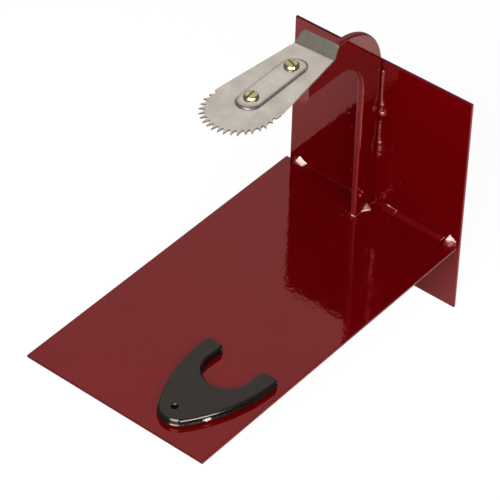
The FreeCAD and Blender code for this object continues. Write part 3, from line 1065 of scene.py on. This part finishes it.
# %% Beads on the arm
UPRIGHT = (
    *((43, 1.6), (46, 2.4), (51, 2.7), (57, 2.3), (61, 1.5), (71, 1.5), (77, 1.6), (81, 3.0)),
    *((83, 3.4), (86, 1.5), (90, 2.3), (93, 1.9), (97, 1.3), (108, 1.4), (114, 1.5), (118, 1.7)),
)
FOOT = (
    *((-0.1, -7.8, 6.8), (4.3, -8.3, 3.0), (0.2, -13.6, 3.0), (-0.1, -4.6, 2.1)),
    *((4.4, -5.4, 2.1), (4.6, -8.8, 2.1), (-0.1, -15.0, 2.1)),
)
BEAD_OUT = 0.8
for side, outward in (("right", 1), ("left", -1)):
    x = outward * ARM_HALF
    weld_bead(
        "bead_upright_" + side,
        [(x + outward * BEAD_OUT * radius, 0, z, radius) for z, radius in UPRIGHT],
        (outward, -1, 0),
        "weld_upright_" + side,
    )
    # The foot tack's pale facet is a painted highlight.
    tack_with_painted_highlight(
        "bead_foot_" + side,
        "weld_foot_" + side,
        soft_hull([(x + outward * out, y, z) for out, y, z in FOOT]),
        lambda face: turned_to_highlight(face, 0.72),
    )
    weld_bead(
        "bead_holder_" + side,
        [(x, -ARM_REACH, z, 2.3) for z in (149.5, 156, 162)],
        (outward, 1, 0),
        "weld_holder_" + side,
    )
weld_bead(
    "bead_foot_front",
    [(x, -ARM_LEG, TOP, radius) for x, radius in ((-2.5, 1.4), (0, 2.3), (2, 1.6))],
    FRONT_CORNER,
    "weld_foot_front",
)

# %% [markdown]
# ### Enamel in the corners
#
# Where two plates meet, wet enamel creeps into the corner and dries as a thin hollow fillet. It is
# about a millimetre across, but it is what draws the light line along a painted seam. Each fillet
# is a three-cornered outline with one hollow side, extruded along its corner. To the right of the
# arm the seam is dressed with a wider, flat fillet as well, made in the way of the tacks.

# %% Corner fillets
FILLET_STEPS = 5
FORWARD, UPWARD = (0, -1, 0), (0, 0, 1)


def corner_fillet(at, run, first, second, radius):
    """A hollow fillet from a point, along run, that leans on the two plates beside it."""
    at, first, second = Vector(at), Vector(first), Vector(second)
    points = [at]
    for k in range(FILLET_STEPS + 1):
        a = math.radians(90 * k / FILLET_STEPS)
        points.append(at + radius * ((1 - math.sin(a)) * first + (1 - math.cos(a)) * second))
    obj = cut_from_plate(points, run)
    smooth(obj, 50)
    return obj


fillets = [
    corner_fillet((-71.8, 0, TOP), (69.3, 0, 0), FORWARD, UPWARD, 0.5),
    corner_fillet((ARM_HALF, 0, TOP), (72.3, 0, 0), FORWARD, UPWARD, 0.6),
]
for outward in (1, -1):
    x = outward * ARM_HALF
    foot = (0, -ARM_LEG + 0.5, 0)
    fillets.append(corner_fillet((x, 0, TOP), foot, (outward, 0, 0), UPWARD, 1.0))
WIDE_FILLET = (
    *((20.0, -0.1, 6.6), (64.0, -0.1, 5.1), (20.0, -0.6, 5.9), (64.0, -0.5, 4.7)),
    *((19.0, -0.1, 2.1), (20.0, -3.3, 2.1), (62.0, -3.2, 2.1), (66.0, -0.1, 2.1)),
)
wide_fillet = soft_hull(WIDE_FILLET, voxel=FINE_VOXEL)
smooth(wide_fillet, 60)
fillets.append(wide_fillet)
settle(join(fillets), "corner_enamel", enamel, "stand")

# %% [markdown]
# ### Spatter
#
# Welding throws drops of metal that stick to the plates and are painted over. Each drop is a
# flattened ball of a few dozen faces. They lie thickest beside the runs, on both plates.

# %% Spatter
drops = []


ON_BACK, ON_BASE = (1, 0.55, 1), (1, 1, 0.55)


def spatter_drop(place, radius, scale):
    deselect()
    bpy.ops.mesh.primitive_ico_sphere_add(
        subdivisions=2, radius=radius, location=place, scale=scale
    )
    drops.append(bpy.context.object)


for x, z, radius in (
    *((-40.9, 49.0, 0.9), (-38.5, 51.5, 0.5), (-22.7, 67.9, 0.8), (-24.6, 66.0, 0.5)),
    *((-19.7, 57.2, 0.7), (-18.3, 20.0, 0.8), (23.8, 30.1, 0.7), (17.5, 21.2, 0.9)),
    *((11.9, 13.6, 1.1), (13.2, 19.9, 0.5), (8.4, 9.2, 0.8), (19.1, 27.6, 0.4)),
    (10.0, 52.0, 0.5),
):
    spatter_drop((x, 0, z), radius, ON_BACK)
for _ in range(26):
    distance = dice.uniform(4.0, 15.0) * dice.uniform(0.4, 1.0)
    angle = math.radians(dice.uniform(15, 85))
    side = dice.choice((1, 1, -1))
    x = side * (ARM_HALF + distance * math.cos(angle))
    spatter_drop((x, 0, TOP + distance * math.sin(angle)), dice.uniform(0.25, 0.7), ON_BACK)
for _ in range(22):
    x = ARM_HALF * dice.choice((1, -1)) + dice.uniform(-4.0, 5.0)
    y = -ARM_LEG + dice.uniform(-5.0, 1.0)
    spatter_drop((x, y, TOP), dice.uniform(0.25, 0.75), ON_BASE)
for _ in range(14):
    z = dice.choice((46.0, 82.0)) + dice.uniform(-9, 9)
    spatter_drop((dice.uniform(4.5, 8.0), 0, z), dice.uniform(0.25, 0.55), ON_BACK)
for x, y, radius in ((74.2, -199.1, 0.9), (74.2, -191.1, 0.6), (73.9, -1.2, 0.8)):
    spatter_drop((x, y, TOP), radius, ON_BASE)
print("spatter drops:", len(drops))
spatter = join(drops)
bake_place()
smooth(spatter, 60)
settle(spatter, "weld_spatter", enamel, "stand")

# %% [markdown]
# ## Blade guard
#
# The guard slides over the teeth when the scraper is put away. It is moulded plastic, six
# millimetres thick: two long round flanks that meet in a nose, and a round notch between two arms,
# with a groove inside the notch that takes the toothed edge. Its rims are well rounded, and the
# mould's lower half stands a little proud of the upper, with a sloped ledge between them.

# %% Guard body
GUARD_THICK = 6.0
HALF_WIDTH, SHOULDER, ARMS, NOSE = 30.7, 9.5, 14.7, -60.0
FLANK_R, NOTCH_R, CORNER_R = 114.0, 17.2, 3.0
RIM_R, RIM_PROFILE = 1.2, 0.30
GUARD_PLACE = Matrix.Translation((37.1, -199.4, TOP)) @ Matrix.Rotation(math.radians(-2.9), 4, "Z")

flank_x = HALF_WIDTH - FLANK_R
rise = SHOULDER - NOSE
nose_r = (FLANK_R**2 - flank_x**2 - rise**2) / (2 * (FLANK_R - rise))
nose_y = NOSE + nose_r
flank_end = math.degrees(math.atan2(nose_y - SHOULDER, -flank_x))
right_flank = arc_points((flank_x, SHOULDER), FLANK_R, 0, flank_end, 22)
nose = arc_points((0, nose_y), nose_r, flank_end, -180 - flank_end, 14)
left_flank = [(-x, y) for x, y in reversed(right_flank)]
corner_right = arc_points((HALF_WIDTH - CORNER_R, ARMS - CORNER_R), CORNER_R, 90, 0, 6)
corner_inner = arc_points((NOTCH_R + CORNER_R, ARMS - CORNER_R), CORNER_R, 180, 90, 6)
right_arm = corner_inner + corner_right
left_arm = [(-x, y) for x, y in reversed(right_arm)]
notch = arc_points((0, 0), NOTCH_R, 180, 360, 32)
guard_outline = right_arm + right_flank + nose[1:-1] + left_flank + left_arm + notch
guard = cut_from_plate([(x, y, 0) for x, y in guard_outline], (0, 0, GUARD_THICK))
round_edges(guard, lambda edge: spans(edge, 2) < 0.01, RIM_R, 5, RIM_PROFILE)
print("guard nose radius", round(nose_r, 2))

# %% Ledge between the mould's halves
LEDGE, PROUD = 2.1, 0.6
LEDGE_CUTS = ((0.35, 0.0), (0.28, 0.06), (-0.22, 0.95), (-0.32, 1.0))


def proud_share(z):
    """How much of the step the outline has taken up at height z. The underside keeps its place."""
    if z < 0.001:
        return 0.0
    return next((share for cut, share in LEDGE_CUTS if z > LEDGE + cut - 0.02), 1.0)


edit(guard)
for cut, _ in LEDGE_CUTS:
    slice_all((0, 0, LEDGE + cut), (0, 0, 1))
shape = bmesh.from_edit_mesh(guard.data)
for vertex in shape.verts:
    share = proud_share(vertex.co.z)
    outward = Vector((vertex.normal.x, vertex.normal.y, 0))
    if share and outward.length > 0.05:
        vertex.co += outward.normalized() * PROUD * share
bmesh.update_edit_mesh(guard.data)
leave_edit()

# %% Groove and hanging hole
GROOVE_R, GROOVE = 26.2, 2.2
deselect()
bpy.ops.mesh.primitive_cylinder_add(
    vertices=96, radius=GROOVE_R, depth=GROOVE, location=(0, 0, GUARD_THICK / 2)
)
combine(guard, bpy.context.object, "DIFFERENCE")
deselect()
bpy.ops.mesh.primitive_cube_add(
    size=1.0, location=(0, 10, GUARD_THICK / 2), scale=(2 * GROOVE_R, 20, GROOVE)
)
combine(guard, bpy.context.object, "DIFFERENCE")
HANG_X, HANG_Y, HANG_R, MOUTH_R = -1.6, -48.5, 2.2, 0.45
drill(guard, HANG_R, (HANG_X, HANG_Y, GUARD_THICK / 2))


def on_hole_mouth(edge):
    return all(
        math.hypot(end.co.x - HANG_X, end.co.y - HANG_Y) < HANG_R + 0.1
        and end.co.z > GUARD_THICK - 0.01
        for end in edge.verts
    )


round_edges(guard, on_hole_mouth, MOUTH_R, 3, RIM_PROFILE)
smooth(guard, 35)
settle(guard, "moulded_guard", guard_plastic, "guard", GUARD_PLACE, ["blade_guard"])

# %% [markdown]
# ### Gate scar
#
# The molten plastic came in at the flank through a small gate, and the stub was torn off there. It
# left a rough spot, whitish where the plastic was stretched: a flattened ball, ruffled with noise.

# %% Gate scar
SCAR_RUFFLE, SCAR_SCALE = 0.35, 1.1
scar_material, tree, shader, place = start_finish("gate_scar", 0.6)
torn = noise(tree, place, 0.9, 3.0)
colour = ramp(tree, torn, [(0.4, (0.10, 0.095, 0.09)), (0.6, (0.62, 0.58, 0.55))])
tree.links.new(colour, shader.inputs["Base Color"])
deselect()
bpy.ops.mesh.primitive_ico_sphere_add(
    subdivisions=4,
    location=(19.2, -40.3, 2.4),
    rotation=(0, 0, math.radians(64.5)),
    scale=(3.0, 0.9, 1.2),
)
scar = bpy.context.object
bake_place()
for vertex in scar.data.vertices:
    vertex.co += vertex.normal * SCAR_RUFFLE * noise_vector.noise(vertex.co * SCAR_SCALE)
smooth(scar, 40)
settle(scar, "gate_scar", scar_material, "guard", GUARD_PLACE)

# %% [markdown]
# ## Floor, light and backdrop
#
# The stand is shown on a plain white floor under two soft lamps. The enamel is a mirror, so what
# it reflects matters as much as what lights it: the floor is pale, and the walls are dark, apart
# from one bright side behind and above, which leaves the red deep. The camera sees the backdrop
# as plain white and the floor as nearly white, with a trace of the object's shadow.

# %% Floor
deselect()
FLOOR_Z = -53.6 * MM
bpy.ops.mesh.primitive_plane_add(size=8.0, location=(0, 0, FLOOR_Z))
floor = bpy.context.object
floor.name = "floor"
floor_material = bpy.data.materials.new("white_floor")
floor_material.use_nodes = True
tree = floor_material.node_tree
tree.nodes.clear()
output = tree.nodes.new("ShaderNodeOutputMaterial")
diffuse = tree.nodes.new("ShaderNodeBsdfDiffuse")
diffuse.inputs["Color"].default_value = (0.80, 0.80, 0.80, 1)
glow = tree.nodes.new("ShaderNodeEmission")
glow.inputs["Strength"].default_value = 1.04
path = tree.nodes.new("ShaderNodeLightPath")
share = tree.nodes.new("ShaderNodeMath")
share.operation = "MULTIPLY"
share.inputs[1].default_value = 0.9
tree.links.new(path.outputs["Is Camera Ray"], share.inputs[0])


def mix_into(tree, share, first, second, output):
    """Mixes two shaders by a share and shows the result on the output."""
    mix = tree.nodes.new("ShaderNodeMixShader")
    tree.links.new(share, mix.inputs["Fac"])
    tree.links.new(first.outputs[0], mix.inputs[1])
    tree.links.new(second.outputs[0], mix.inputs[2])
    tree.links.new(mix.outputs[0], output.inputs["Surface"])


mix_into(tree, share.outputs[0], diffuse, glow, output)
floor.data.materials.append(floor_material)

# %% World
world = bpy.data.worlds.new("studio")
bpy.context.scene.world = world
world.use_nodes = True
tree = world.node_tree
tree.nodes.clear()
output = tree.nodes.new("ShaderNodeOutputWorld")
walls = tree.nodes.new("ShaderNodeBackground")
BRIGHT_SIDE = (-0.465, 0.587, 0.663)
direction = tree.nodes.new("ShaderNodeTexCoord").outputs["Generated"]
facing = tree.nodes.new("ShaderNodeVectorMath")
facing.operation = "DOT_PRODUCT"
facing.inputs[1].default_value = BRIGHT_SIDE
tree.links.new(direction, facing.inputs[0])
shade = tree.nodes.new("ShaderNodeMapRange")
shade.inputs["From Min"].default_value = 0.58
shade.inputs["From Max"].default_value = 0.88
shade.inputs["To Min"].default_value = 0.14
shade.inputs["To Max"].default_value = 1.0
tree.links.new(facing.outputs["Value"], shade.inputs["Value"])
even = tree.nodes.new("ShaderNodeMix")
even.inputs["B"].default_value = 0.12
tree.links.new(shade.outputs["Result"], even.inputs["A"])
tree.links.new(even.outputs["Result"], walls.inputs["Strength"])
white = tree.nodes.new("ShaderNodeBackground")
white.inputs["Color"].default_value = (1, 1, 1, 1)
path = tree.nodes.new("ShaderNodeLightPath")
tree.links.new(path.outputs["Is Diffuse Ray"], even.inputs["Factor"])
mix_into(tree, path.outputs["Is Camera Ray"], walls, white, output)

# %% Lamps

def soft_lamp(name, place, target, size, power):
    data = bpy.data.lights.new(name, "AREA")
    data.shape = "RECTANGLE"
    data.size, data.size_y = size
    data.energy = power
    lamp = bpy.data.objects.new(name, data)
    bpy.context.scene.collection.objects.link(lamp)
    lamp.location = place
    lamp.rotation_euler = (Vector(target) - Vector(place)).to_track_quat("-Z", "Y").to_euler()
    print(f"{name} lamp: {power} W, {(Vector(place) - Vector(target)).length:.2f} m away")


soft_lamp("key", (0.32, -1.32, 1.0), (0, -0.1, 0.05), (0.85, 0.75), 36.0)
soft_lamp("fill", (1.14, -0.70, 0.78), (0, -0.05, 0.06), (0.85, 0.32), 21.0)

bpy.context.scene.view_settings.view_transform = "Standard"
